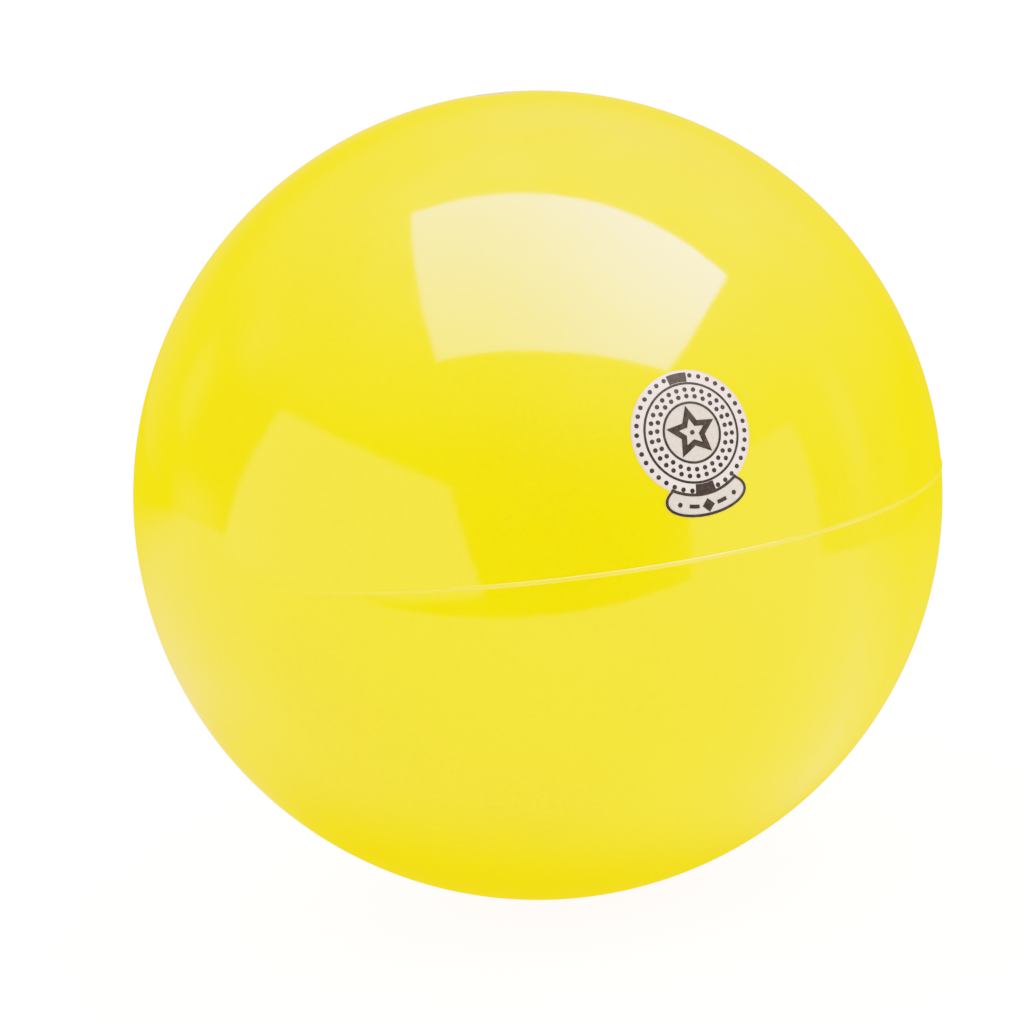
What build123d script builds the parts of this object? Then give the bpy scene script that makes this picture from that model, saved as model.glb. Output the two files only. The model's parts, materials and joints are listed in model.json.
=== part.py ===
from build123d import *
import os
from math import cos, radians, sin, sqrt

# Playground rubber ball with a needle valve. Millimetres.
# Origin: the ball's centre. +Z: out through the valve, at the upper pole.
# The moulding seam lies in the XY plane, and the badge faces -Y above the seam.

# Driving dimensions
BALL_DIA = 190.0            # outside of the cover
COVER_WALL = 2.2            # outer rubber half shells
LINER_WALL = 0.8            # air-tight liner inside them
PATCH_WALL = 1.4            # reinforcing patch inside the liner
PATCH_DIA = 44.0
SEAM_RADIUS = 0.5           # round of the raised flash line along the seam
SEAM_HEIGHT = 0.28          # how far that line stands out of the ball

NECK_DIA = 12.0             # valve housing where it passes through the wall
FLANGE_DIA = 30.0           # housing's bonding flange, under the patch
FLANGE_WALL = 1.6
PLUG_DIA = 7.0              # valve plug's stem
PLUG_HEAD_DIA = 9.8         # valve plug's head, in a recess of the neck
PLUG_HEAD_WALL = 1.2
PLUG_STEM_LENGTH = 11.5
PLUG_SINK = 0.35            # the head lies this far under the ball's surface
PLUG_CLEARANCE = 0.06       # radial, plug to housing
PLUG_GROOVE = 2.3           # width of the grooves between the plug's sealing ribs
PLUG_GROOVE_DEPTH = 0.35
POCKET_WALL = 2.6           # rubber around and under the plug
AIR_HOLE_DIA = 1.6          # through the pocket's floor
NEEDLE_DIA = 2.0            # bore that takes an inflating needle
NEEDLE_DEPTH = 5.0
NEEDLE_LEAD_IN = 0.5        # 45 degree lead-in at the mouth of that bore

BADGE_LATITUDE = 15.8       # degrees above the seam
BADGE_TWIST = 3.0           # degrees, anticlockwise seen from outside
BADGE_DIA = 26.4
BADGE_FILM = 0.20           # white film
BADGE_INK = 0.08            # dark print on the film
TAG_WIDTH = 18.5            # oval tag that shows from under the badge's lower edge
TAG_HEIGHT = 8.4
RIM_LINE = 0.60             # printed outline of the tag, and of the badge where it crosses it
FINE_LINE = 0.50            # printed rings
DOT_DIA = 1.00              # printed dots
BADGE_LINE_RINGS = (21.2, 13.0)                     # outer diameters
BADGE_DOT_RINGS = ((24.1, 38), (18.1, 30), (15.3, 26))   # diameter, count
BADGE_BARS_DIA = 25.4       # bold bars at the top and bottom, over the outermost dots
BADGE_BARS_WIDTH = 4.6
BADGE_BARS_LINE = 2.0
STAR_TIP = 5.7              # radii of the open star in the middle
STAR_NOTCH = 2.8
STAR_LINE = 0.52            # inner outline of the star, as a share of the outer
TAG_MARKS_R = 15.25         # the tag's marks lie on this circle about the badge's centre
TAG_STEP = 12.0             # degrees between them
TAG_DASH = 2.2
TAG_DASH_LINE = 0.8
TAG_LOZENGE = 2.0

BALL_R = BALL_DIA / 2
LINER_R = BALL_R - COVER_WALL
PATCH_R = LINER_R - LINER_WALL
FLANGE_R = PATCH_R - PATCH_WALL
REACH = BALL_R + SEAM_RADIUS    # anything out to here is past every solid
NECK_R = NECK_DIA / 2
PLUG_TOP_Z = sqrt(BALL_R**2 - NECK_R**2) - PLUG_SINK
HEAD_SEAT_Z = PLUG_TOP_Z - PLUG_HEAD_WALL
STEM_END_Z = HEAD_SEAT_Z - PLUG_STEM_LENGTH
TAG_PLACE = Pos(0, -BADGE_DIA / 2)


def shell(outer_r, wall):
    """Ring between two circles, in the profile plane."""
    return Circle(outer_r) - Circle(outer_r - wall)


def band(r_from, r_to, z_from, z_to):
    """Rectangle of the profile plane between two radii and two heights."""
    return Pos((r_from + r_to) / 2, (z_from + z_to) / 2) * Rectangle(r_to - r_from, z_to - z_from)


def turned(profile):
    """Solid of revolution about the valve axis from a profile of radius and height."""
    return revolve(Plane.XZ * profile, Axis.Z, 360)


def cover(half):
    """Half shell with its half of the flash line, kept where it lies in the given band."""
    flash = Pos(BALL_R + SEAM_HEIGHT - SEAM_RADIUS, 0) * Circle(SEAM_RADIUS)
    return turned((shell(BALL_R, COVER_WALL) + flash) & half)


def cover_upper():
    """Half shell above the seam, with a hole at its pole for the valve's neck."""
    return cover(band(NECK_R, REACH, 0, REACH))


def cover_lower():
    """Half shell below the seam, closed at its pole."""
    return cover(band(0, REACH, -REACH, 0))


def bladder():
    """Liner, open only where the valve's neck passes through it."""
    lower_half = band(0, REACH, -REACH, 0)
    upper_half = band(NECK_R, REACH, 0, REACH)
    return turned(shell(LINER_R, LINER_WALL) & (lower_half + upper_half))


def valve_patch():
    """Dished ring bonded to the liner around the neck."""
    return turned(shell(PATCH_R, PATCH_WALL) & band(NECK_R, PATCH_DIA / 2, 0, REACH))


def valve_housing():
    """Neck, bonding flange and blind pocket, turned as one rubber moulding."""
    pocket_r = PLUG_DIA / 2 + POCKET_WALL
    floor_z = STEM_END_Z - POCKET_WALL
    neck = Circle(BALL_R) & band(0, NECK_R, FLANGE_R - FLANGE_WALL, REACH)
    flange = shell(FLANGE_R, FLANGE_WALL) & band(0, FLANGE_DIA / 2, 0, REACH)
    pocket = band(0, pocket_r, floor_z, FLANGE_R - FLANGE_WALL / 2)
    recess = band(0, PLUG_HEAD_DIA / 2 + PLUG_CLEARANCE, HEAD_SEAT_Z, REACH)
    plug_bore = band(0, PLUG_DIA / 2 + PLUG_CLEARANCE, STEM_END_Z, REACH)
    air_hole = band(0, AIR_HOLE_DIA / 2, floor_z, STEM_END_Z)
    return turned(neck + flange + pocket - recess - plug_bore - air_hole)


def valve_core():
    """Plug with a flat head, two sealing ribs and a blind needle bore."""
    stem_r = PLUG_DIA / 2
    needle_r = NEEDLE_DIA / 2
    head = band(0, PLUG_HEAD_DIA / 2, HEAD_SEAT_Z, PLUG_TOP_Z)
    stem = band(0, stem_r, STEM_END_Z, HEAD_SEAT_Z)
    grooves = []
    for groove_top_z in (HEAD_SEAT_Z - PLUG_GROOVE, HEAD_SEAT_Z - 3 * PLUG_GROOVE):
        grooves.append(band(stem_r - PLUG_GROOVE_DEPTH, stem_r, groove_top_z - PLUG_GROOVE, groove_top_z))
    bore = band(0, needle_r, PLUG_TOP_Z - NEEDLE_LEAD_IN - NEEDLE_DEPTH, PLUG_TOP_Z)
    lead_in = make_face(
        Polyline(
            (0, PLUG_TOP_Z),
            (needle_r + NEEDLE_LEAD_IN, PLUG_TOP_Z),
            (needle_r, PLUG_TOP_Z - NEEDLE_LEAD_IN),
            (0, PLUG_TOP_Z - NEEDLE_LEAD_IN),
            close=True,
        )
    )
    return turned(head + stem - grooves - bore - lead_in)


def badge_plane():
    """Plane through the ball's centre whose +Z leaves through the middle of the badge."""
    lift = radians(BADGE_LATITUDE)
    outward = Plane(origin=(0, 0, 0), x_dir=(1, 0, 0), z_dir=(0, -cos(lift), sin(lift)))
    return outward.rotated((0, 0, BADGE_TWIST))


def skin(inner_r, thickness):
    """Thin spherical layer on the badge's side of the ball."""
    return Sphere(inner_r + thickness) - Sphere(inner_r)


def printed(sketch, inner_r, thickness):
    """Wrap a flat sketch onto the ball as a layer of the given thickness."""
    prism = extrude(badge_plane() * sketch, BALL_DIA)
    return prism & skin(inner_r, thickness)


def oval(width, height):
    """Flat ellipse from its two full sizes."""
    return Ellipse(width / 2, height / 2)


def oval_line(width, height, stroke):
    """Ellipse drawn as a line that lies inside its two full sizes."""
    return oval(width, height) - oval(width - 2 * stroke, height - 2 * stroke)


def star(tip_r, notch_r, points):
    """Filled star with one tip straight up."""
    corners = []
    for i in range(2 * points):
        reach = notch_r if i % 2 else tip_r
        turn = radians(90 + i * 180 / points)
        corners.append((reach * cos(turn), reach * sin(turn)))
    return make_face(Polyline(*corners, close=True))


def dot_circle(dia, count):
    """Evenly spaced printed dots round a circle."""
    return [place * Circle(DOT_DIA / 2) for place in PolarLocations(dia / 2, count)]


def badge_marks():
    """Round part of the print: rings of lines and dots, two bars and an open star."""
    marks = star(STAR_TIP, STAR_NOTCH, 5) - star(STAR_TIP * STAR_LINE, STAR_NOTCH * STAR_LINE, 5)
    marks += Circle(DOT_DIA / 2)
    for dia in BADGE_LINE_RINGS:
        marks += oval_line(dia, dia, FINE_LINE)
    for dia, count in BADGE_DOT_RINGS:
        marks += dot_circle(dia, count)
    bar_window = Rectangle(BADGE_BARS_WIDTH, BADGE_DIA)
    marks += oval_line(BADGE_BARS_DIA, BADGE_BARS_DIA, BADGE_BARS_LINE) & bar_window
    return marks


def tag_marks():
    """Tag part of the print: outlines, then a lozenge, dashes and dots below the badge's edge."""
    tag = TAG_PLACE * oval(TAG_WIDTH, TAG_HEIGHT)
    marks = TAG_PLACE * oval_line(TAG_WIDTH, TAG_HEIGHT, RIM_LINE) - Circle(BADGE_DIA / 2)
    marks += oval_line(BADGE_DIA, BADGE_DIA, RIM_LINE) & tag
    row = [(0, Rot(0, 0, 45) * Rectangle(TAG_LOZENGE, TAG_LOZENGE))]
    for side in (-1, 1):
        row.append((side * TAG_STEP, Rectangle(TAG_DASH, TAG_DASH_LINE)))
        row.append((side * 2 * TAG_STEP, Circle(DOT_DIA / 2)))
    for turn, mark in row:
        marks += Rot(0, 0, turn) * Pos(0, -TAG_MARKS_R) * mark
    return marks


def emblem_base():
    """White film: the round badge and the oval tag in one outline."""
    outline = Circle(BADGE_DIA / 2) + TAG_PLACE * oval(TAG_WIDTH, TAG_HEIGHT)
    return printed(outline, BALL_R, BADGE_FILM)


def emblem_print():
    """Dark ink: the marks of the badge and of the tag."""
    return printed(badge_marks() + tag_marks(), BALL_R + BADGE_FILM, BADGE_INK)


if __name__ == "__main__":
    nodes = {
        "cover_upper": cover_upper(),
        "cover_lower": cover_lower(),
        "bladder": bladder(),
        "valve_patch": valve_patch(),
        "valve_housing": valve_housing(),
        "valve_core": valve_core(),
        "emblem_base": emblem_base(),
        "emblem_print": emblem_print(),
    }
    os.makedirs("parts", exist_ok=True)
    for name, shape in nodes.items():
        shape.label = name
        export_step(shape, f"parts/{name}.step")
        print(name, type(shape).__name__, len(shape.solids()), round(shape.volume, 1))
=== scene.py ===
import json
import math

import bmesh
import bpy
from mathutils import Matrix, Vector, noise


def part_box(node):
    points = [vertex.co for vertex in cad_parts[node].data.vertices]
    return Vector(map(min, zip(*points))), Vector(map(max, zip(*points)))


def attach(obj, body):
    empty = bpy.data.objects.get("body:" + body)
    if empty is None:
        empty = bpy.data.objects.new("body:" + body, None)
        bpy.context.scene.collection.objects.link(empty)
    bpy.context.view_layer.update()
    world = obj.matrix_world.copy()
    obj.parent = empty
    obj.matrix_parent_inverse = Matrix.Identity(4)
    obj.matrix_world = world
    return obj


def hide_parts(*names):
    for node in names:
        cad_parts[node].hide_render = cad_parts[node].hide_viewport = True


# Playground rubber ball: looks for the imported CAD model, in metres, in the model's own frame.
# +Z leaves through the needle valve, the moulding seam lies at z = 0 and the badge faces -Y.

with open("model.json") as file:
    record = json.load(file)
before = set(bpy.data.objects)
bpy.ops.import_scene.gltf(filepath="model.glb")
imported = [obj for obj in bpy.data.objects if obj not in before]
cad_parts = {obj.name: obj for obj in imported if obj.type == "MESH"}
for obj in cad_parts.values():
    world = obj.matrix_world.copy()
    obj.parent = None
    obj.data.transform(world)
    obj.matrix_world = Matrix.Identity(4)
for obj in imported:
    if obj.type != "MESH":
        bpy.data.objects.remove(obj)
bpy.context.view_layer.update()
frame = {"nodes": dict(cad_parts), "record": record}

MM = 0.001


# ---------------------------------------------------------------- sizes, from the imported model

def node_height(node):
    """(lowest z, highest z) of a CAD node."""
    low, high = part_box(node)
    return low[2], high[2]


def node_radius(node):
    """Half the width along X of a CAD node that is round about Z."""
    low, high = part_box(node)
    return (high[0] - low[0]) / 2


BALL_R = -node_height("cover_lower")[0]
LINER_R = -node_height("bladder")[0]
RIDGE_HEIGHT = node_radius("cover_upper") - BALL_R
PLUG_LOW, PLUG_TOP = node_height("valve_core")
PLUG_HEAD_R = node_radius("valve_core")
HOUSING_LOW = node_height("valve_housing")[0]
FLANGE_R = node_radius("valve_housing")
needle_port = next(m for m in frame["record"]["mounts"] if m["name"] == "needle_port")
NEEDLE_R = needle_port["dims"]["r_mm"] * MM
NEEDLE_DEPTH = needle_port["dims"]["length_mm"] * MM

NECK_R = 6.0 * MM               # valve housing where it passes through the wall
PLUG_STEM_R = 3.5 * MM
PLUG_HEAD_WALL = 1.2 * MM
PLUG_GAP = 0.06 * MM            # plug to housing, all round
PLUG_GROOVE = 2.3 * MM          # width of the grooves between the plug's sealing ribs
PLUG_GROOVE_DEPTH = 0.35 * MM
NEEDLE_LEAD_IN = 0.5 * MM       # chamfer at the mouth of the needle's bore
FLANGE_WALL = 1.6 * MM
LINER_AND_PATCH = 2.2 * MM      # wall between the cover and the flange
FLANGE_TOP_R = LINER_R - LINER_AND_PATCH    # sphere that the flange is bonded to
POCKET_WALL = 2.6 * MM
AIR_HOLE_R = 0.8 * MM

BADGE_LATITUDE = math.radians(15.8)
BADGE_TWIST = math.radians(3)
BADGE_DIA = 26.4 * MM
BADGE_FILM = 0.20 * MM
BADGE_INK = 0.08 * MM
TAG_WIDTH = 18.5 * MM
TAG_HEIGHT = 8.4 * MM
RIM_LINE = 0.60 * MM
FINE_LINE = 0.50 * MM
DOT_R = 0.50 * MM
BADGE_LINE_RINGS = (21.2 * MM, 13.0 * MM)                               # outer diameters
BADGE_DOT_RINGS = ((24.1 * MM, 38), (18.1 * MM, 30), (15.3 * MM, 26))   # diameter, count
BADGE_BARS_DIA = 25.4 * MM
BADGE_BARS_WIDTH = 4.6 * MM
BADGE_BARS_LINE = 2.0 * MM
STAR_TIP = 5.7 * MM
STAR_NOTCH = 2.8 * MM
STAR_LINE = 0.52                # inner outline of the star, as a share of the outer
TAG_MARKS_R = 15.25 * MM
TAG_STEP = 12.0                 # degrees between the tag's marks
TAG_DASH = 2.2 * MM
TAG_DASH_LINE = 0.8 * MM
TAG_LOZENGE = 2.0 * MM


# ---------------------------------------------------------------- mesh helpers

ON_AXIS = 1e-9                  # a point this near the axis is on it
SHARP_DEG = 40                  # edges sharper than this stay crisp
CORNER_SHARE = 0.45             # most of a side that one rounded corner may take
BISECTIONS = 40


def mesh_object(name, bm, sharp_deg=SHARP_DEG):
    """Object from a bmesh, smooth except at edges sharper than the given angle."""
    bmesh.ops.recalc_face_normals(bm, faces=bm.faces)
    mesh = bpy.data.meshes.new(name)
    bm.to_mesh(mesh)
    bm.free()
    mesh.shade_smooth()
    mesh.set_sharp_from_angle(angle=math.radians(sharp_deg))
    obj = bpy.data.objects.new(name, mesh)
    bpy.context.collection.objects.link(obj)
    return obj


def lathe(name, outline, segments, ripple=None):
    """Turns a closed outline of (radius, z) points about Z. ripple(turn, r, z) may move a point."""
    bm = bmesh.new()
    rings = []
    for r, z in outline:
        if r < ON_AXIS:
            rings.append([bm.verts.new((0, 0, z))])
            continue
        ring = []
        for i in range(segments):
            turn = 2 * math.pi * i / segments
            rr, zz = ripple(turn, r, z) if ripple else (r, z)
            ring.append(bm.verts.new((rr * math.cos(turn), rr * math.sin(turn), zz)))
        rings.append(ring)
    for a, b in zip(rings, rings[1:] + rings[:1]):
        if len(a) == len(b) == 1:
            continue
        for i in range(segments):
            j = (i + 1) % segments
            corners = [a[i % len(a)], a[j % len(a)], b[j % len(b)], b[i % len(b)]]
            bm.faces.new(list(dict.fromkeys(corners)))
    return mesh_object(name, bm)


def arc(radius, from_deg, to_deg, steps):
    """Points of an arc about the ball's centre in the (radius, z) plane, angles from +r."""
    points = []
    for i in range(steps + 1):
        a = math.radians(from_deg + (to_deg - from_deg) * i / steps)
        points.append((radius * math.cos(a), radius * math.sin(a)))
    return points


def rounded(corners, radius, steps=4):
    """Closed outline with every corner rounded by the same radius, or as much as fits."""
    points = []
    count = len(corners)
    for i, corner in enumerate(corners):
        here = Vector(corner)
        before = Vector(corners[i - 1]) - here
        after = Vector(corners[(i + 1) % count]) - here
        reach = min(radius, before.length * CORNER_SHARE, after.length * CORNER_SHARE)
        start = here + before.normalized() * reach
        end = here + after.normalized() * reach
        if here.x < ON_AXIS:
            points.append(tuple(here))
            continue
        for k in range(steps + 1):
            t = k / steps
            point = start * (1 - t) ** 2 + here * 2 * t * (1 - t) + end * t**2
            points.append((max(point.x, 0.0), point.y))
    return points


def last_inside(inside, near, far):
    """Last value for which inside(value) holds, going from near, where it does, to far."""
    for _ in range(BISECTIONS):
        middle = (near + far) / 2
        near, far = (middle, far) if inside(middle) else (near, middle)
    return near


# ---------------------------------------------------------------- cover

COVER_SEGMENTS = 256
OUTER_STEPS = 96                # along each half shell, from its seam to its pole
INNER_STEPS = 48
RIDGE_HALF_WIDTH = 0.50 * MM    # the seam's flash line, from its crest to its foot
RIDGE_RINGS = 14                # rings on each side that shape it
RIDGE_REACH = 1.0 * MM          # height above the seam that those rings cover
RIDGE_MEAN, RIDGE_MOST = 0.84, 0.98     # its usual and greatest height, as shares of the full one
RIDGE_WAVES = ((9, 0.14), (39, 0.08))   # how fast its height wanders round the ball, and how far
RIDGE_ROUND = 0.75                      # exponent of its rounded profile
TRIM_SIDE = Vector((0.934, -0.357, 0))  # heading on which it stands full
TRIM_START, TRIM_END = -0.68, -0.05     # along that heading, in ball radii: trimmed back, full
TRIM_DEPTH = 0.85                       # share of its height that is trimmed off


def seam_ridge(turn, r, z):
    """Raises a point near the seam into the round flash line, a little uneven along its length."""
    on_outside = r > (BALL_R + LINER_R) / 2
    if not on_outside:
        return r, z
    around = Vector((math.cos(turn), math.sin(turn), 0))
    uneven = RIDGE_MEAN
    for pace, swing in RIDGE_WAVES:
        uneven += swing * noise.noise(around * pace)
    trimmed = (TRIM_END - around.dot(TRIM_SIDE)) / (TRIM_END - TRIM_START)
    kept = 1 - TRIM_DEPTH * min(max(trimmed, 0.0), 1.0)
    height = RIDGE_HEIGHT * min(uneven, RIDGE_MOST) * kept
    across = min(abs(z) / RIDGE_HALF_WIDTH, 1.0)
    return r + height * (1 - across**2) ** RIDGE_ROUND, z


def cover_outer(side, stop_r):
    """Outer outline of a half shell, from the seam to the given radius near its pole."""
    points = []
    for i in range(RIDGE_RINGS):
        z = RIDGE_REACH * i / RIDGE_RINGS
        points.append((math.sqrt(BALL_R**2 - z**2), side * z))
    start_deg = math.degrees(math.asin(RIDGE_REACH / BALL_R))
    stop_deg = math.degrees(math.acos(stop_r / BALL_R))
    for r, z in arc(BALL_R, start_deg, stop_deg, OUTER_STEPS):
        points.append((r, side * z))
    return points


def cover_half(name, side, pole_r):
    """Half shell with its half of the seam's ridge, open at the pole if pole_r is over 0."""
    outer = cover_outer(side, pole_r)
    stop_deg = math.degrees(math.acos(pole_r / LINER_R))
    inner = [(r, side * z) for r, z in arc(LINER_R, stop_deg, 0, INNER_STEPS)]
    if pole_r == 0:
        outer[-1] = (0.0, side * BALL_R)
        inner[0] = (0.0, side * LINER_R)
    return lathe(name, outer + inner, COVER_SEGMENTS, ripple=seam_ridge)


# ---------------------------------------------------------------- valve

HOUSING_SEGMENTS, HOUSING_EDGE = 128, 0.18 * MM     # round its axis; radius of its softened edges
PLUG_SEGMENTS, PLUG_EDGE = 96, 0.15 * MM
FLANGE_KNEES = (0.55, 0.8)      # shares of the flange's radius where its outline has extra points


def valve_housing():
    """Neck, flange and blind pocket, one moulding with softened edges."""
    recess_z = PLUG_TOP - PLUG_HEAD_WALL
    recess_r = PLUG_HEAD_R + PLUG_GAP
    bore_r = PLUG_STEM_R + PLUG_GAP
    pocket_r = PLUG_STEM_R + POCKET_WALL
    flange_low_r = FLANGE_TOP_R - FLANGE_WALL

    def on_sphere(sphere_r, r):
        return r, math.sqrt(sphere_r**2 - r**2)

    near_knee, far_knee = (FLANGE_R * share for share in FLANGE_KNEES)
    corners = [
        on_sphere(BALL_R, NECK_R),
        on_sphere(FLANGE_TOP_R, NECK_R),
        on_sphere(FLANGE_TOP_R, near_knee),
        on_sphere(FLANGE_TOP_R, far_knee),
        on_sphere(FLANGE_TOP_R, FLANGE_R),
        on_sphere(flange_low_r, FLANGE_R),
        on_sphere(flange_low_r, far_knee),
        on_sphere(flange_low_r, pocket_r),
        (pocket_r, HOUSING_LOW),
        (AIR_HOLE_R, HOUSING_LOW),
        (AIR_HOLE_R, PLUG_LOW),
        (bore_r, PLUG_LOW),
        (bore_r, recess_z),
        (recess_r, recess_z),
        on_sphere(BALL_R, recess_r),
    ]
    return lathe("valve_housing_moulding", rounded(corners, HOUSING_EDGE), HOUSING_SEGMENTS)


def valve_plug():
    """Plug: flat head, stem with two grooves between its ribs, and a blind needle bore."""
    head_low = PLUG_TOP - PLUG_HEAD_WALL
    bore_top = PLUG_TOP - NEEDLE_LEAD_IN
    corners = [
        (NEEDLE_R, bore_top),
        (NEEDLE_R + NEEDLE_LEAD_IN, PLUG_TOP),
        (PLUG_HEAD_R, PLUG_TOP),
        (PLUG_HEAD_R, head_low),
        (PLUG_STEM_R, head_low),
    ]
    for above in (1, 3):
        groove_top = head_low - above * PLUG_GROOVE
        groove_low = head_low - (above + 1) * PLUG_GROOVE
        corners += [
            (PLUG_STEM_R, groove_top),
            (PLUG_STEM_R - PLUG_GROOVE_DEPTH, groove_top),
            (PLUG_STEM_R - PLUG_GROOVE_DEPTH, groove_low),
            (PLUG_STEM_R, groove_low),
        ]
    corners += [
        (PLUG_STEM_R, PLUG_LOW),
        (0.0, PLUG_LOW),
        (0.0, bore_top - NEEDLE_DEPTH),
        (NEEDLE_R, bore_top - NEEDLE_DEPTH),
    ]
    return lathe("valve_plug_moulding", rounded(corners, PLUG_EDGE), PLUG_SEGMENTS)


# ---------------------------------------------------------------- badge

badge_out = Vector((0, -math.cos(BADGE_LATITUDE), math.sin(BADGE_LATITUDE)))
flat_right = Vector((1, 0, 0))
flat_up = badge_out.cross(flat_right)
badge_right = flat_right * math.cos(BADGE_TWIST) + flat_up * math.sin(BADGE_TWIST)
badge_up = flat_up * math.cos(BADGE_TWIST) - flat_right * math.sin(BADGE_TWIST)
TAG_CENTRE = -BADGE_DIA / 2

OUTLINE_STEPS = 240
FILM_SHARP_DEG = 60
FILM_EDGE_R = BADGE_FILM * 0.6
FILM_EDGE = ((0, 0), (0, 0.6), (0.3, 0.9), (1, 1))      # steps in, as shares of that radius; and up
FILM_RINGS = (0.85, 0.7, 0.55, 0.4, 0.25, 0.1)          # rings of the film's face, from its edge


def wrapped(u, v, lift):
    """Point above the ball's surface from flat badge coordinates."""
    out = math.sqrt((BALL_R + lift) ** 2 - u**2 - v**2)
    return badge_right * u + badge_up * v + badge_out * out


def in_tag(u, v):
    """True if a flat point lies inside the tag's oval."""
    return (u / (TAG_WIDTH / 2)) ** 2 + ((v - TAG_CENTRE) / (TAG_HEIGHT / 2)) ** 2 < 1


def in_film(point):
    """True if a flat point lies on the round badge or on the tag."""
    return point.length < BADGE_DIA / 2 or in_tag(point.x, point.y)


def badge_outline():
    """Outline of the film: the round badge and the tag as one shape, as flat points."""
    points = []
    middle = Vector((0, TAG_CENTRE / 3))
    for i in range(OUTLINE_STEPS):
        a = math.pi / 2 + 2 * math.pi * i / OUTLINE_STEPS
        heading = Vector((math.cos(a), math.sin(a)))
        reach = last_inside(lambda r: in_film(middle + heading * r), 0.0, BADGE_DIA)
        points.append(middle + heading * reach)
    return middle, points


def badge_film():
    """White film with a thin rounded edge."""
    middle, outline = badge_outline()
    bm = bmesh.new()
    layers = []
    for step_in, step_up in FILM_EDGE:
        ring = []
        for p in outline:
            q = p - (p - middle).normalized() * (FILM_EDGE_R * step_in)
            ring.append(bm.verts.new(wrapped(q.x, q.y, BADGE_FILM * step_up)))
        layers.append(ring)
    for share in FILM_RINGS:
        ring = []
        for p in outline:
            q = middle + (p - middle) * share
            ring.append(bm.verts.new(wrapped(q.x, q.y, BADGE_FILM)))
        layers.append(ring)
    count = len(outline)
    for a, b in zip(layers, layers[1:]):
        for i in range(count):
            j = (i + 1) % count
            bm.faces.new((a[i], a[j], b[j], b[i]))
    top = bm.verts.new(wrapped(middle.x, middle.y, BADGE_FILM))
    under = bm.verts.new(wrapped(middle.x, middle.y, 0))
    for i in range(count):
        j = (i + 1) % count
        bm.faces.new((layers[-1][i], layers[-1][j], top))
        bm.faces.new((layers[0][j], layers[0][i], under))
    return mesh_object("badge_film", bm, FILM_SHARP_DEG)


# Points along the printed marks.
RING_STEPS = 160
DOT_STEPS = 20
BAR_STEPS = 12
RIM_STEPS = 48
TAG_STEPS = 120
DASH_STEPS = 6
STAR_POINTS = 5
STAR_SPLITS = 4                 # pieces of each side of the star
TAG_LINE_GAP = 0.3              # degrees of its outline, left clear of the badge's rim line


class Ink:
    """Collects raised ink marks drawn in flat badge coordinates."""

    def __init__(self):
        self.bm = bmesh.new()
        self.low = BADGE_FILM
        self.high = BADGE_FILM + BADGE_INK

    def strip(self, side_a, side_b, closed):
        """Mark between two rows of points of equal number."""
        section = (
            (side_a, self.low), (side_a, self.high), (side_b, self.high), (side_b, self.low))
        rows = []
        for row, lift in section:
            rows.append([self.bm.verts.new(wrapped(u, v, lift)) for u, v in row])
        count = len(side_a)
        spans = count if closed else count - 1
        for k in range(4):
            a, b = rows[k], rows[(k + 1) % 4]
            for i in range(spans):
                j = (i + 1) % count
                self.bm.faces.new((a[i], a[j], b[j], b[i]))
        if not closed:
            for i in (0, count - 1):
                self.bm.faces.new([row[i] for row in rows])

    def disc(self, u0, v0, outline):
        """Filled mark from an outline round its centre."""
        low = [self.bm.verts.new(wrapped(u0 + u, v0 + v, self.low)) for u, v in outline]
        high = [self.bm.verts.new(wrapped(u0 + u, v0 + v, self.high)) for u, v in outline]
        centre_low = self.bm.verts.new(wrapped(u0, v0, self.low))
        centre_high = self.bm.verts.new(wrapped(u0, v0, self.high))
        count = len(outline)
        for i in range(count):
            j = (i + 1) % count
            self.bm.faces.new((low[i], low[j], high[j], high[i]))
            self.bm.faces.new((high[i], high[j], centre_high))
            self.bm.faces.new((low[j], low[i], centre_low))


def polar(radius, degrees):
    """Flat point at a distance from the badge's centre, anticlockwise from its right."""
    return radius * math.cos(math.radians(degrees)), radius * math.sin(math.radians(degrees))


def arc_line(ink, dia, stroke, from_deg, to_deg, steps):
    """Line inside a circle of the given diameter, from one direction to another."""
    full = to_deg - from_deg == 360
    count = steps if full else steps + 1
    turns = [from_deg + (to_deg - from_deg) * i / steps for i in range(count)]
    outer = [polar(dia / 2, t) for t in turns]
    inner = [polar(dia / 2 - stroke, t) for t in turns]
    ink.strip(outer, inner, closed=full)


def badge_meets_tag():
    """Direction, in degrees, of the crossing of the two outlines at the lower right."""
    return last_inside(lambda turn: in_tag(*polar(BADGE_DIA / 2, turn)), -90.0, 0.0)


def tag_outline(ink):
    """The tag's outline where it shows beyond the round badge."""
    def beyond(turn):
        u = TAG_WIDTH / 2 * math.cos(math.radians(turn))
        v = TAG_CENTRE + TAG_HEIGHT / 2 * math.sin(math.radians(turn))
        return math.hypot(u, v) > BADGE_DIA / 2

    end = last_inside(beyond, -90.0, 90.0) - TAG_LINE_GAP
    start = -180 - end
    step = (end - start) / TAG_STEPS
    turns = [math.radians(start + step * i) for i in range(TAG_STEPS + 1)]
    rows = []
    for shrink in (0, RIM_LINE):
        across, along = TAG_WIDTH / 2 - shrink, TAG_HEIGHT / 2 - shrink
        rows.append([(across * math.cos(t), TAG_CENTRE + along * math.sin(t)) for t in turns])
    ink.strip(*rows, closed=False)


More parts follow.
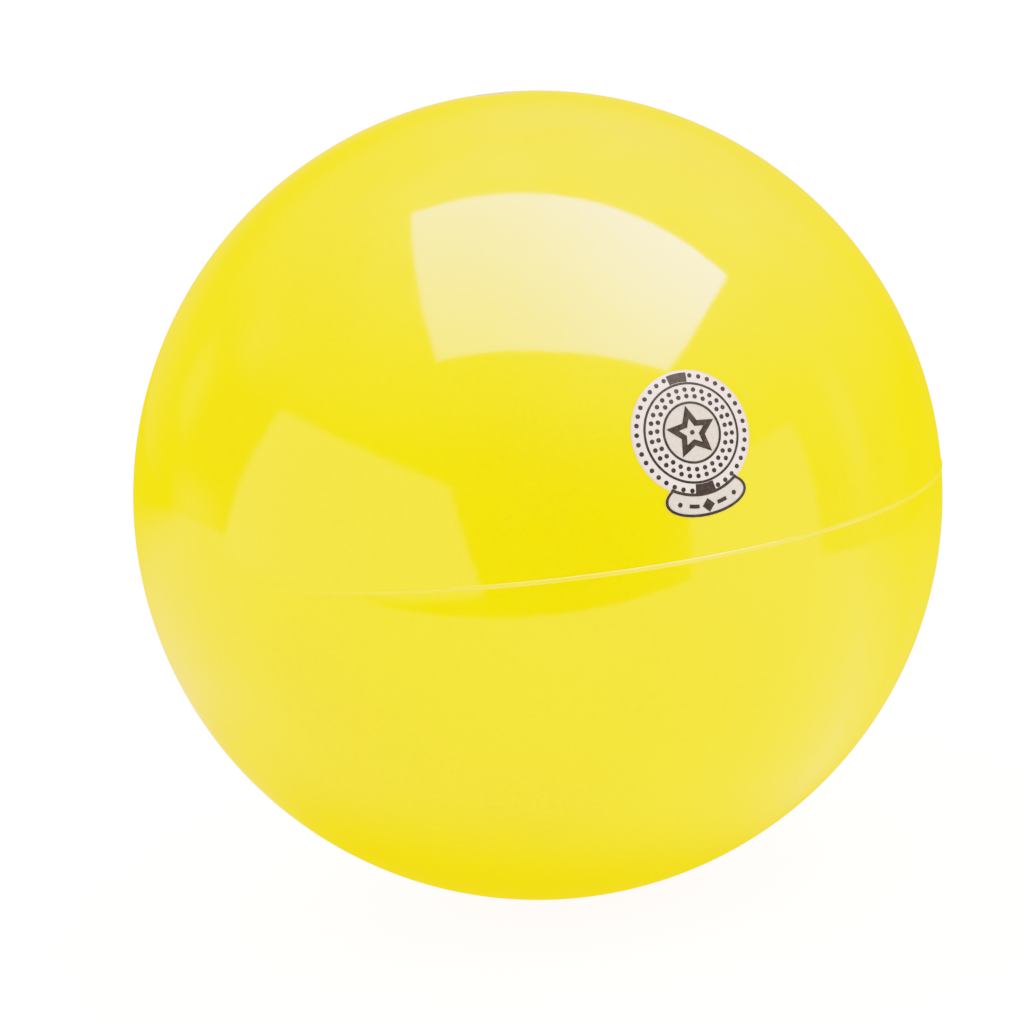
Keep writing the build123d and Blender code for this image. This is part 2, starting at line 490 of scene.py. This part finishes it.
def star_mark(ink):
    """Open five-pointed star with a dot in the middle."""
    corners = []
    for i in range(2 * STAR_POINTS):
        reach = STAR_NOTCH if i % 2 else STAR_TIP
        corners.append(Vector(polar(reach, 90 + 180 / STAR_POINTS * i)))
    outer = []
    for corner, following in zip(corners, corners[1:] + corners[:1]):
        outer += [tuple(corner.lerp(following, k / STAR_SPLITS)) for k in range(STAR_SPLITS)]
    inner = [(u * STAR_LINE, v * STAR_LINE) for u, v in outer]
    ink.strip(outer, inner, closed=True)


def badge_ink():
    """Generic pattern: rings of lines and dots, two bars and an open star, then the tag's marks."""
    ink = Ink()
    dot = [polar(DOT_R, 360 * i / DOT_STEPS) for i in range(DOT_STEPS)]
    for dia in BADGE_LINE_RINGS:
        arc_line(ink, dia, FINE_LINE, 0, 360, RING_STEPS)
    for dia, count in BADGE_DOT_RINGS:
        for i in range(count):
            u, v = polar(dia / 2, 360 * i / count)
            under_bar = dia > BADGE_LINE_RINGS[0] and abs(u) < BADGE_BARS_WIDTH / 2
            if not under_bar:
                ink.disc(u, v, dot)
    half = math.degrees(math.asin(BADGE_BARS_WIDTH / BADGE_BARS_DIA))
    for turn in (90, -90):
        arc_line(ink, BADGE_BARS_DIA, BADGE_BARS_LINE, turn - half, turn + half, BAR_STEPS)
    star_mark(ink)
    ink.disc(0, 0, dot)

    crossing = badge_meets_tag()
    arc_line(ink, BADGE_DIA, RIM_LINE, -180 - crossing, crossing, RIM_STEPS)
    tag_outline(ink)
    tip = TAG_LOZENGE / math.sqrt(2)
    ink.disc(0, -TAG_MARKS_R, [(tip, 0), (0, tip), (-tip, 0), (0, -tip)])
    half = math.degrees(math.asin(TAG_DASH / 2 / TAG_MARKS_R))
    dash_dia = 2 * TAG_MARKS_R + TAG_DASH_LINE
    for side in (-1, 1):
        turn = -90 + side * TAG_STEP
        arc_line(ink, dash_dia, TAG_DASH_LINE, turn - half, turn + half, DASH_STEPS)
        ink.disc(*polar(TAG_MARKS_R, -90 + side * 2 * TAG_STEP), dot)
    return mesh_object("badge_ink", ink.bm)


# ---------------------------------------------------------------- materials

NOISE_MOSTLY = (0.3, 0.7)       # most of a noise's values lie between these
NOISE_MIDDLE = (0.35, 0.65)     # a narrower range, for patches with plainer edges


class Nodes:
    """Short calls for building a node tree."""

    def __init__(self, tree):
        self.tree = tree

    def link(self, source, target):
        """Connects an output, or sets a plain value."""
        if isinstance(source, bpy.types.NodeSocket):
            self.tree.links.new(source, target)
        else:
            target.default_value = source

    def noise(self, vector, scale, detail=3.0, roughness=0.55):
        node = self.tree.nodes.new("ShaderNodeTexNoise")
        node.inputs["Scale"].default_value = scale
        node.inputs["Detail"].default_value = detail
        node.inputs["Roughness"].default_value = roughness
        self.link(vector, node.inputs["Vector"])
        return node.outputs["Fac"]

    def ramp(self, source, stops):
        """Colour ramp from (position, colour or grey) stops."""
        node = self.tree.nodes.new("ShaderNodeValToRGB")
        elements = node.color_ramp.elements
        while len(elements) < len(stops):
            elements.new(0.5)
        for element, (position, colour) in zip(elements, stops):
            element.position = position
            element.color = (*colour, 1) if isinstance(colour, tuple) else (colour,) * 3 + (1,)
        self.link(source, node.inputs["Fac"])
        return node.outputs["Color"]

    def spread(self, source, low, high, out_low, out_high, smooth=False):
        """Maps a value range onto another, clamped."""
        node = self.tree.nodes.new("ShaderNodeMapRange")
        node.interpolation_type = "SMOOTHSTEP" if smooth else "LINEAR"
        ranges = {"From Min": low, "From Max": high, "To Min": out_low, "To Max": out_high}
        for key, value in ranges.items():
            self.link(value, node.inputs[key])
        self.link(source, node.inputs["Value"])
        return node.outputs["Result"]

    def vary(self, grain, low, high):
        """Value that wanders between low and high with a noise."""
        return self.spread(grain, *NOISE_MOSTLY, low, high)

    def math(self, operation, a, b=0.0):
        node = self.tree.nodes.new("ShaderNodeMath")
        node.operation = operation
        self.link(a, node.inputs[0])
        self.link(b, node.inputs[1])
        return node.outputs[0]

    def vector(self, operation, a, b=(0, 0, 0)):
        """Vector maths: a number from DOT_PRODUCT and LENGTH, a vector from the rest."""
        node = self.tree.nodes.new("ShaderNodeVectorMath")
        node.operation = operation
        self.link(a, node.inputs[0])
        self.link(b, node.inputs[1])
        return node.outputs["Value" if operation in ("DOT_PRODUCT", "LENGTH") else "Vector"]

    def mix(self, factor, a, b):
        """Blend of two colours."""
        node = self.tree.nodes.new("ShaderNodeMix")
        node.data_type = "RGBA"
        self.link(factor, node.inputs[0])
        for socket, colour in ((node.inputs[6], a), (node.inputs[7], b)):
            self.link((*colour, 1) if isinstance(colour, tuple) else colour, socket)
        return node.outputs[2]

    def colour(self, red, green, blue):
        """Colour from three values."""
        node = self.tree.nodes.new("ShaderNodeCombineColor")
        for value, socket in zip((red, green, blue), node.inputs):
            self.link(value, socket)
        return node.outputs["Color"]


class Shader(Nodes):
    """Material with one Principled surface, painted by position on the piece."""

    def __init__(self, name):
        self.material = bpy.data.materials.new(name)
        self.material.use_nodes = True
        super().__init__(self.material.node_tree)
        self.surface = self.tree.nodes["Principled BSDF"]
        self.coords = self.tree.nodes.new("ShaderNodeTexCoord").outputs["Object"]

    def grain(self, scale, detail=3.0, roughness=0.55):
        return self.noise(self.coords, scale, detail, roughness)

    def bump(self, height, distance, strength=1.0):
        node = self.tree.nodes.new("ShaderNodeBump")
        node.inputs["Distance"].default_value = distance
        node.inputs["Strength"].default_value = strength
        self.link(height, node.inputs["Height"])
        self.link(node.outputs["Normal"], self.surface.inputs["Normal"])

    def set(self, **values):
        for key, value in values.items():
            self.link(value, self.surface.inputs[key.replace("_", " ")])


RUBBER_IOR = 1.5
DUSTED_IOR = 1.52
PRINT_IOR = 1.45
YELLOWS = [(0, (0.90, 0.80, 0.0004)), (0.5, (0.93, 0.845, 0.0006)), (1, (0.95, 0.87, 0.0012))]
# paler yellow painted along the seam as its highlight
SEAM_HIGHLIGHT_YELLOW = (0.95, 0.89, 0.11)
FILM_WHITES = [(0.3, (0.68, 0.76, 0.65)), (0.7, (0.76, 0.83, 0.71))]
FILM_TANS = [(0.3, (0.56, 0.60, 0.47)), (0.7, (0.65, 0.70, 0.56))]
INK_BROWNS = [(0.35, (0.018, 0.006, 0.004)), (0.75, (0.075, 0.036, 0.026))]
SEAM_HIGHLIGHT_HALF = 0.55 * MM          # half width of the paler band along the seam, a painted highlight
SEAM_HIGHLIGHT_CORE = 0.3                # share of it where the highlight is painted at full strength
SEAM_HIGHLIGHT_LEAST = 0.35              # how strong the painted highlight is in its faintest patches


def painted_seam_highlight(s):
    """Painted highlight on the cover: paler in patches along the seam, and none where the seam is
    trimmed back.
    """
    height = s.math("ABSOLUTE", s.vector("DOT_PRODUCT", s.coords, (0, 0, 1)))
    band = s.spread(height, SEAM_HIGHLIGHT_HALF * SEAM_HIGHLIGHT_CORE, SEAM_HIGHLIGHT_HALF, 1, 0, smooth=True)
    patches = s.spread(s.grain(scale=60), *NOISE_MIDDLE, SEAM_HIGHLIGHT_LEAST, 1)
    side = s.vector("DOT_PRODUCT", s.coords, tuple(TRIM_SIDE))
    full = s.spread(side, TRIM_START * BALL_R, TRIM_END * BALL_R, 0, 1, smooth=True)
    return s.math("MULTIPLY", s.math("MULTIPLY", band, patches), full)


def cover_rubber():
    """Glossy yellow rubber: faint clouding, fine grain, a slightly wavy skin and a highlight
    painted along the seam.
    """
    s = Shader("cover_rubber")
    clouds = s.grain(scale=22, detail=4)
    grain = s.grain(scale=900, detail=2, roughness=0.6)
    waves = s.grain(scale=140, detail=2)
    mixed = s.spread(s.math("ADD", clouds, grain), 0.7, 1.3, 0, 1)
    s.set(
        # the yellow, with a paler highlight painted along the seam
        Base_Color=s.mix(painted_seam_highlight(s), s.ramp(mixed, YELLOWS), SEAM_HIGHLIGHT_YELLOW),
        Roughness=s.vary(s.grain(scale=420), 0.05, 0.10),
        IOR=RUBBER_IOR,
    )
    pits = s.spread(grain, 0.2, 0.8, out_low=0, out_high=0.12)
    s.bump(s.math("ADD", waves, pits), distance=0.02 * MM)
    return s.material


def badge_white():
    """White transfer film with fine printing grain, tinted inside the inner ring and on the tag."""
    s = Shader("badge_film")
    grain = s.grain(scale=1500, detail=2)
    off_centre = s.vector("LENGTH", s.vector("SUBTRACT", s.coords, tuple(badge_out * BALL_R)))
    inner_edge = BADGE_LINE_RINGS[1] / 2
    tint = s.math(
        "MAXIMUM",
        s.spread(off_centre, inner_edge - FINE_LINE, inner_edge, 1, 0),
        s.spread(off_centre, BADGE_DIA / 2 - RIM_LINE, BADGE_DIA / 2, 0, 1),
    )
    blotches = s.grain(scale=700, detail=2)
    s.set(
        Base_Color=s.mix(tint, s.ramp(grain, FILM_WHITES), s.ramp(grain, FILM_TANS)),
        Roughness=s.vary(blotches, 0.22, 0.34),
        IOR=PRINT_IOR,
    )
    s.bump(grain, distance=0.01 * MM)
    return s.material


def badge_dark():
    """Dark brown ink that covers unevenly."""
    s = Shader("badge_ink")
    cover = s.grain(scale=1100, detail=3, roughness=0.6)
    s.set(
        Base_Color=s.ramp(cover, INK_BROWNS),
        Roughness=s.vary(cover, 0.35, 0.5),
        IOR=PRINT_IOR,
    )
    s.bump(cover, distance=0.01 * MM)
    return s.material


def pale_rubber(name, dark, light):
    """Satin moulded rubber with faint specks."""
    s = Shader(name)
    specks = s.grain(scale=260, detail=4)
    s.set(
        Base_Color=s.ramp(specks, [(0.3, dark), (0.7, light)]),
        Roughness=s.vary(s.grain(scale=900), 0.28, 0.42),
        IOR=RUBBER_IOR,
    )
    s.bump(s.grain(scale=1800, detail=2), distance=0.015 * MM)
    return s.material


def dusted_rubber(name, dark, light):
    """Matt inner rubber with a bloom of talc."""
    s = Shader(name)
    dust = s.grain(scale=60, detail=6, roughness=0.7)
    s.set(
        Base_Color=s.ramp(dust, [(0.35, dark), (0.75, light)]),
        Roughness=s.vary(dust, 0.55, 0.85),
        IOR=DUSTED_IOR,
    )
    s.bump(s.grain(scale=500, detail=4), distance=0.05 * MM)
    return s.material


# ---------------------------------------------------------------- pieces

def place(piece, node, body, material):
    """Gives a piece its finish and its body, and hides the CAD node that it stands in for."""
    piece.data.materials.append(material)
    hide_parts(node)
    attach(piece, body)


yellow = cover_rubber()
place(cover_half("cover_upper_skin", +1, NECK_R), "cover_upper", "ball", yellow)
place(cover_half("cover_lower_skin", -1, 0), "cover_lower", "ball", yellow)
place(badge_film(), "emblem_base", "ball", badge_white())
place(badge_ink(), "emblem_print", "ball", badge_dark())
cream = pale_rubber("valve_rubber", (0.72, 0.62, 0.28), (0.80, 0.72, 0.38))
place(valve_housing(), "valve_housing", "ball", cream)
ivory = pale_rubber("plug_rubber", (0.64, 0.72, 0.36), (0.72, 0.80, 0.44))
place(valve_plug(), "valve_core", "valve_plug", ivory)

liner = dusted_rubber("liner_rubber", (0.02, 0.019, 0.018), (0.16, 0.155, 0.15))
patch = dusted_rubber("patch_rubber", (0.03, 0.026, 0.022), (0.12, 0.11, 0.10))
for node, material in (("bladder", liner), ("valve_patch", patch)):
    for slot in frame["nodes"][node].material_slots:
        slot.material = material


# ---------------------------------------------------------------- studio

# The ball mirrors a softbox overhead, two standing cards, the table's front edge and a dim
# room. An even light, which reflections don't see, shows every piece's own colour.
ROOM_LIGHT = 1.30               # that even light
FLOOR_GLOW = 1.60
WARM = (1.15, 1.00)             # red and green of what the ball's rim mirrors, behind the ball
WARM_FROM = 0.6                 # cosine to straight back from which they are full

CAMERA_AZIMUTH = math.radians(-21.15)
CAMERA_ELEVATION = math.radians(10.75)
# Level headings: away from the camera, and to its right.
FORWARD = (-math.sin(CAMERA_AZIMUTH), math.cos(CAMERA_AZIMUTH), 0)
SIDEWAYS = (math.cos(CAMERA_AZIMUTH), math.sin(CAMERA_AZIMUTH), 0)

FULL_FROM = 0.5                 # across a panel, from -1 to 1, where its right end's light starts
DIM_FROM = -0.2                 # down a panel, from -1 to 1, where it starts to dim


def emitter(name, left, right, bottom, feather):
    """Light that runs from left to right along the panel's X, dims towards its lower edge, and
    thins out over the feathered share of the panel at each edge."""
    material = bpy.data.materials.new(name)
    material.use_nodes = True
    material.cycles.emission_sampling = "NONE"
    material.node_tree.nodes.clear()
    n = Nodes(material.node_tree)
    coords = n.tree.nodes.new("ShaderNodeTexCoord").outputs["Object"]
    across = n.vector("DOT_PRODUCT", coords, (1, 0, 0))
    down = n.vector("DOT_PRODUCT", coords, (0, 1, 0))
    strength = n.math(
        "MULTIPLY",
        n.spread(across, -1, FULL_FROM, left, right, smooth=True),
        n.spread(down, DIM_FROM, 1, 1, bottom),
    )
    thick = 1.0
    for position, share in zip((across, down), feather):
        off_middle = n.math("ABSOLUTE", position)
        thick = n.math("MULTIPLY", thick, n.spread(off_middle, 1 - share, 1, 1, 0, smooth=True))
    glow = n.tree.nodes.new("ShaderNodeEmission")
    n.link(strength, glow.inputs["Strength"])
    clear = n.tree.nodes.new("ShaderNodeBsdfTransparent")
    panel = n.tree.nodes.new("ShaderNodeMixShader")
    n.link(thick, panel.inputs["Fac"])
    n.link(clear.outputs["BSDF"], panel.inputs[1])
    n.link(glow.outputs["Emission"], panel.inputs[2])
    output = n.tree.nodes.new("ShaderNodeOutputMaterial")
    n.link(panel.outputs["Shader"], output.inputs["Surface"])
    return material


def flat_panel(name, corners):
    """Single quad from four corners."""
    bm = bmesh.new()
    bm.faces.new([bm.verts.new(c) for c in corners])
    return mesh_object(name, bm)


def card(name, centre, right, down, width, height, light, bottom, feather):
    """Glowing rectangle that only reflections see, placed by its centre and two directions.

    light is for its left and right ends, bottom the share left at its lower edge, and feather
    the width over which each edge thins out."""
    panel = flat_panel(name, [(-1, -1, 0), (1, -1, 0), (1, 1, 0), (-1, 1, 0)])
    x_axis = Vector(right).normalized()
    y_axis = Vector(down)
    y_axis = (y_axis - x_axis * y_axis.dot(x_axis)).normalized()
    turn = Matrix((x_axis, y_axis, x_axis.cross(y_axis))).transposed()
    size = Matrix.Diagonal((width / 2, height / 2, 1))
    panel.matrix_world = Matrix.Translation(Vector(centre)) @ (turn @ size).to_4x4()
    shares = (2 * feather / width, 2 * feather / height)
    panel.data.materials.append(emitter(name, *light, bottom, shares))
    panel.visible_camera = False
    panel.visible_diffuse = False
    panel.visible_shadow = False
    panel.visible_transmission = False
    panel.visible_volume_scatter = False


card(
    "softbox", centre=(0.247, -0.648, 1.442),
    right=(0.883, -0.470, 0), down=(-0.468, -0.878, -0.102),
    width=2.146, height=1.46, light=(8.8, 13.6), bottom=0.74, feather=0.025,
)
card(
    "left_card", centre=(-0.453, -0.195, 0.078),
    right=(0.108, -0.981, -0.159), down=(0.431, 0.190, -0.882),
    width=0.64, height=0.385, light=(1.55, 1.50), bottom=1.0, feather=0.03,
)
card(
    "right_card", centre=(0.269, -0.421, -0.022),
    right=(0.721, 0.687, 0.083), down=(-0.060, 0.181, -0.982),
    width=0.36, height=0.284, light=(1.40, 1.45), bottom=1.0, feather=0.025,
)

FLOOR_Z = -BALL_R
FLOOR_SIZE = 30.0
TABLE_FRONT = 0.317             # the table that the ball mirrors ends this far towards the camera
TABLE_LEFT = 3.0
TABLE_RIGHT = 0.36
TABLE_BACK = 3.0
TABLE_DROP = 0.2 * MM           # under the floor that the camera sees, clear of its light
# Depth of the painted shadow by direction round the ball's foot, in degrees to the right of
# straight back.
SHADOW_FAN = (
    (-95, 0.0), (-72, 0.18), (-50, 0.45), (-25, 0.80), (0, 0.95), (20, 0.89),
    (45, 0.90), (60, 0.82), (72, 0.78), (80, 0.60), (90, 0.36), (97, 0.0),
)
# Round painted shadows: steps to the right of and behind the foot, radii where they start and stop
# fading, depth.
SHADOW_SPOTS = ((-0.015, 0.01, 0.048, 0.10, 1.0), (-0.05, 0.05, 0.06, 0.15, 0.65))
SHADOW_BLUE = 0.03              # blue of the warm light painted into the ball's shadow
FADE_SLANT = 0.4                # the table's painted light fades towards the back and, less, the right
FADE_DEPTH = 0.6                # how far back it has faded out
LIFT_FROM, LIFT_TO, LIFT = -0.1, 0.2, 0.28  # steps to the right between which the table's painted glow brightens
PAPERS = [(0.3, (0.90, 0.90, 0.90)), (0.7, (0.92, 0.92, 0.92))]


def paper(name):
    """Pale matt paper with faint mottling."""
    s = Shader(name)
    s.set(
        Base_Color=s.ramp(s.grain(scale=3), PAPERS),
        Roughness=1.0,
        Specular_IOR_Level=0.0,
    )
    s.material.cycles.emission_sampling = "NONE"
    return s


def floor():
    """Floor that the camera sees, bright enough to print as white."""
    panel = flat_panel("floor", [
        (-FLOOR_SIZE, -FLOOR_SIZE, FLOOR_Z), (FLOOR_SIZE, -FLOOR_SIZE, FLOOR_Z),
        (FLOOR_SIZE, FLOOR_SIZE, FLOOR_Z), (-FLOOR_SIZE, FLOOR_SIZE, FLOOR_Z)])
    s = paper("floor_paper")
    s.set(Emission_Color=(1, 1, 1, 1), Emission_Strength=FLOOR_GLOW)
    panel.data.materials.append(s.material)
    panel.visible_diffuse = False
    panel.visible_glossy = False


def table():
    """Table that the ball mirrors, with the ball's shadow painted on it as a warm glow behind the
    ball.
    """
    forward, sideways = Vector(FORWARD), Vector(SIDEWAYS)
    corners = []
    for side, depth in ((-TABLE_LEFT, -TABLE_FRONT), (TABLE_RIGHT, -TABLE_FRONT),
                        (TABLE_RIGHT, TABLE_BACK), (-TABLE_LEFT, TABLE_BACK)):
        corners.append(sideways * side + forward * depth + Vector((0, 0, FLOOR_Z - TABLE_DROP)))
    panel = flat_panel("table", corners)
    s = paper("table_paper")
    flat = s.vector("MULTIPLY", s.coords, (1, 1, 0))
    to_right = s.vector("DOT_PRODUCT", flat, SIDEWAYS)
    away = s.vector("DOT_PRODUCT", flat, FORWARD)
    around = s.spread(s.math("ARCTAN2", to_right, away), -math.pi, math.pi, 0, 1)
    fan = s.ramp(around, [((180 + degrees) / 360, depth) for degrees, depth in SHADOW_FAN])
    kept = s.math("SUBTRACT", 1.0, fan)
    for right, back, start, stop, depth in SHADOW_SPOTS:
        spot = s.vector("SUBTRACT", flat, tuple(sideways * right + forward * back))
        light = s.spread(s.vector("LENGTH", spot), start, stop, 1 - depth, 1, smooth=True)
        kept = s.math("MULTIPLY", kept, light)
    slanted = s.math("ADD", away, s.math("MULTIPLY", to_right, FADE_SLANT))
    kept = s.math("MULTIPLY", kept, s.spread(slanted, 0, FADE_DEPTH, 1, 0, smooth=True))
    shadow = s.math("SUBTRACT", 1.0, kept)
    lift = s.spread(to_right, LIFT_FROM, LIFT_TO, 0, LIFT)
    # painted shade: the shadow darkens the paper, and a painted glow takes its place, warm in the
    # shadow and brighter to the right
    glow = s.mix(shadow, s.colour(lift, lift, lift), (*WARM, SHADOW_BLUE))
    base = s.surface.inputs["Base Color"].links[0].from_socket
    s.set(Base_Color=s.mix(shadow, base, (0.0, 0.0, 0.0)))
    s.set(Emission_Color=glow, Emission_Strength=1.0)
    panel.data.materials.append(s.material)
    panel.visible_camera = False


floor()
table()


# Pale windows in the dim room: degrees right of straight back, half width in degrees, lowest and
# highest elevation in degrees, light.
WINDOWS = (
    (-57, 9, 9, 22, 0.32),
    (-74, 13, 27, 38, 0.32),
    (81, 7, -8, 16, 0.40),
    (-71, 16, -7, 4, 0.50),
    (-24, 32, -6, 14, 0.16),
    (6, 27, -6, 12, 0.14),
)
WINDOW_REACH = 1.15             # half widths across which a window fades out
WINDOW_CORE, WINDOW_RIM = 0.1, 0.8      # shares of its height, off its middle, where it fades out
# What the ball mirrors of the room by height of the direction, from 0 straight down to 1 up.
ROOM_AT_LEFT = [
    (0.45, 0.04), (0.60, 0.08), (0.70, 0.10), (0.75, 0.24), (0.795, 0.42),
    (0.835, 0.52), (0.87, 0.67), (0.905, 0.88), (0.935, 1.25), (0.96, 1.5),
]
ROOM_AT_RIGHT = [
    (0.40, 0.42), (0.48, 0.32), (0.55, 0.42), (0.655, 0.60), (0.705, 0.88),
    (0.75, 1.12), (0.795, 1.41), (0.835, 1.70), (0.96, 2.1),
]
LEFT_END, RIGHT_END = -0.2, 0.9     # steps of a direction to the right, between which they blend
# Two dark parts of the room, low on the camera's side and low behind the ball: the steps away
# from the camera and upwards between which each fades, and the share of the light that it takes.
NEAR_DARK_AWAY, NEAR_DARK_UP, NEAR_DARK = (-0.93, -0.65), (0.05, 0.42), 0.97
FAR_DARK_AWAY, FAR_DARK_UP, FAR_DARK = (0.2, 0.62), (0.0, 0.35), 0.85
STREAK_SHAPE = (1, 1, 0.25)     # heights count a quarter, so the streaks stand upright
STREAK_SCALE = 4.5
STREAKS = (0.90, 1.10)          # factors on the room's light in its darkest and palest streaks


def window_light(n, around, elevation):
    """Sum of the pale windows, each soft at its edges."""
    total = 0.0
    for middle, half, low, high, light in WINDOWS:
        middle, half, low, high = (math.radians(v) for v in (middle, half, low, high))
        off = n.math("ABSOLUTE", n.math("SUBTRACT", around, middle))
        across = n.spread(off, 0, half * WINDOW_REACH, light, 0, smooth=True)
        off = n.math("ABSOLUTE", n.math("SUBTRACT", elevation, (low + high) / 2))
        core, rim = (high - low) * WINDOW_CORE, (high - low) * WINDOW_RIM
        along = n.spread(off, core, rim, 1, 0, smooth=True)
        total = n.math("ADD", total, n.math("MULTIPLY", across, along))
    return total


def mirrored_room(n, heading):
    """What the ball mirrors beyond the cards: dim low down, paler overhead and to the right."""
    height = n.vector("DOT_PRODUCT", heading, (0, 0, 1))
    to_right = n.vector("DOT_PRODUCT", heading, SIDEWAYS)
    away = n.vector("DOT_PRODUCT", heading, FORWARD)
    rise = n.spread(height, -1, 1, 0, 1)
    side = n.spread(to_right, LEFT_END, RIGHT_END, 0, 1)
    ramps = n.mix(side, n.ramp(rise, ROOM_AT_LEFT), n.ramp(rise, ROOM_AT_RIGHT))
    near_dark = n.math(
        "MULTIPLY",
        n.spread(away, *NEAR_DARK_AWAY, 1, 0, smooth=True),
        n.spread(height, *NEAR_DARK_UP, NEAR_DARK, 0),
    )
    far_dark = n.math(
        "MULTIPLY",
        n.spread(away, *FAR_DARK_AWAY, 0, FAR_DARK),
        n.spread(height, *FAR_DARK_UP, 1, 0),
    )
    kept = n.math("SUBTRACT", 1.0, n.math("MAXIMUM", near_dark, far_dark))
    streaks = n.noise(n.vector("MULTIPLY", heading, STREAK_SHAPE), STREAK_SCALE, detail=2)
    uneven = n.spread(streaks, *NOISE_MIDDLE, *STREAKS)
    plain = n.math("MULTIPLY", ramps, n.math("MULTIPLY", kept, uneven))
    around = n.math("ARCTAN2", to_right, away)
    return n.math("ADD", plain, window_light(n, around, n.math("ARCSINE", height)))


def room():
    """Even light for colour, white behind the ball, and the mirrored room in reflections."""
    world = bpy.data.worlds.new("room")
    bpy.context.scene.world = world
    world.use_nodes = True
    world.cycles.sampling_method = "NONE"
    world.node_tree.nodes.clear()
    n = Nodes(world.node_tree)
    new = n.tree.nodes.new
    path = new("ShaderNodeLightPath")
    heading = new("ShaderNodeTexCoord").outputs["Generated"]
    away = n.vector("DOT_PRODUCT", heading, FORWARD)
    behind = n.spread(away, 0, WARM_FROM, 0, 1, smooth=True)
    blue = mirrored_room(n, heading)
    red = n.spread(behind, 0, 1, blue, WARM[0])
    green = n.spread(behind, 0, 1, blue, WARM[1])
    mirrored = n.colour(n.math("MAXIMUM", red, blue), n.math("MAXIMUM", green, blue), blue)
    even = n.mix(path.outputs["Is Glossy Ray"], (ROOM_LIGHT,) * 3, mirrored)
    seen = n.mix(path.outputs["Is Camera Ray"], even, (ROOM_LIGHT + FLOOR_GLOW,) * 3)
    background = new("ShaderNodeBackground")
    n.link(seen, background.inputs["Color"])
    output = new("ShaderNodeOutputWorld")
    n.link(background.outputs["Background"], output.inputs["Surface"])


room()


WHITE = 2.6                     # light that prints as pure white
TONES = {                       # light and printed tone, for red, green and blue
    0: [(0, 0), (0.75, 0.75), (0.88, 0.85), (1.04, 0.885), (1.21, 0.913), (1.7, 0.935), (WHITE, 1)],
    1: [(0, 0), (0.50, 0.50), (0.81, 0.69), (1.04, 0.775), (1.10, 0.795), (1.6, 0.86), (WHITE, 1)],
    2: [(0, 0), (0.60, 0.60), (1.04, 0.84), (1.6, 0.93), (WHITE, 1)],
}


def print_response():
    """Tone response of a printed picture: reds and greens level off well below white."""
    view = bpy.context.scene.view_settings
    view.view_transform = "Standard"
    view.use_curve_mapping = True
    mapping = view.curve_mapping
    mapping.use_clip = False
    mapping.clip_max_x = WHITE
    for index, points in TONES.items():
        curve = mapping.curves[index]
        while len(curve.points) < len(points):
            curve.points.new(0.5, 0.5)
        for point, location in zip(curve.points, points):
            point.location = location
            point.handle_type = "VECTOR"
    mapping.update()


print_response()


# ---------------------------------------------------------------- camera

CAMERA_ROLL = math.radians(6.1)     # the ball's axis leans left in the picture
CAMERA_DISTANCE = 0.674
LENS_MM, SENSOR_MM = 100, 36
BALL_RIGHT, BALL_ABOVE = 0.0060, 0.0039     # how far the ball stands off the picture's middle


def camera():
    """Camera, rolled and aimed a little off the ball's centre."""
    data = bpy.data.cameras.new("camera")
    data.lens = LENS_MM
    data.sensor_width = SENSOR_MM
    cam = bpy.data.objects.new("camera", data)
    bpy.context.collection.objects.link(cam)
    back = Vector((
        math.sin(CAMERA_AZIMUTH) * math.cos(CAMERA_ELEVATION),
        -math.cos(CAMERA_AZIMUTH) * math.cos(CAMERA_ELEVATION),
        math.sin(CAMERA_ELEVATION),
    ))
    facing = back.to_track_quat("Z", "Y").to_matrix() @ Matrix.Rotation(-CAMERA_ROLL, 3, "Z")
    right, up = facing.col[0], facing.col[1]
    position = back * CAMERA_DISTANCE
    aim = -right * BALL_RIGHT - up * BALL_ABOVE
    look = (position - aim).normalized()
    right = (right - look * right.dot(look)).normalized()
    turn = Matrix((right, look.cross(right), look)).transposed()
    cam.matrix_world = Matrix.Translation(position) @ turn.to_4x4()
    bpy.context.scene.camera = cam


camera()
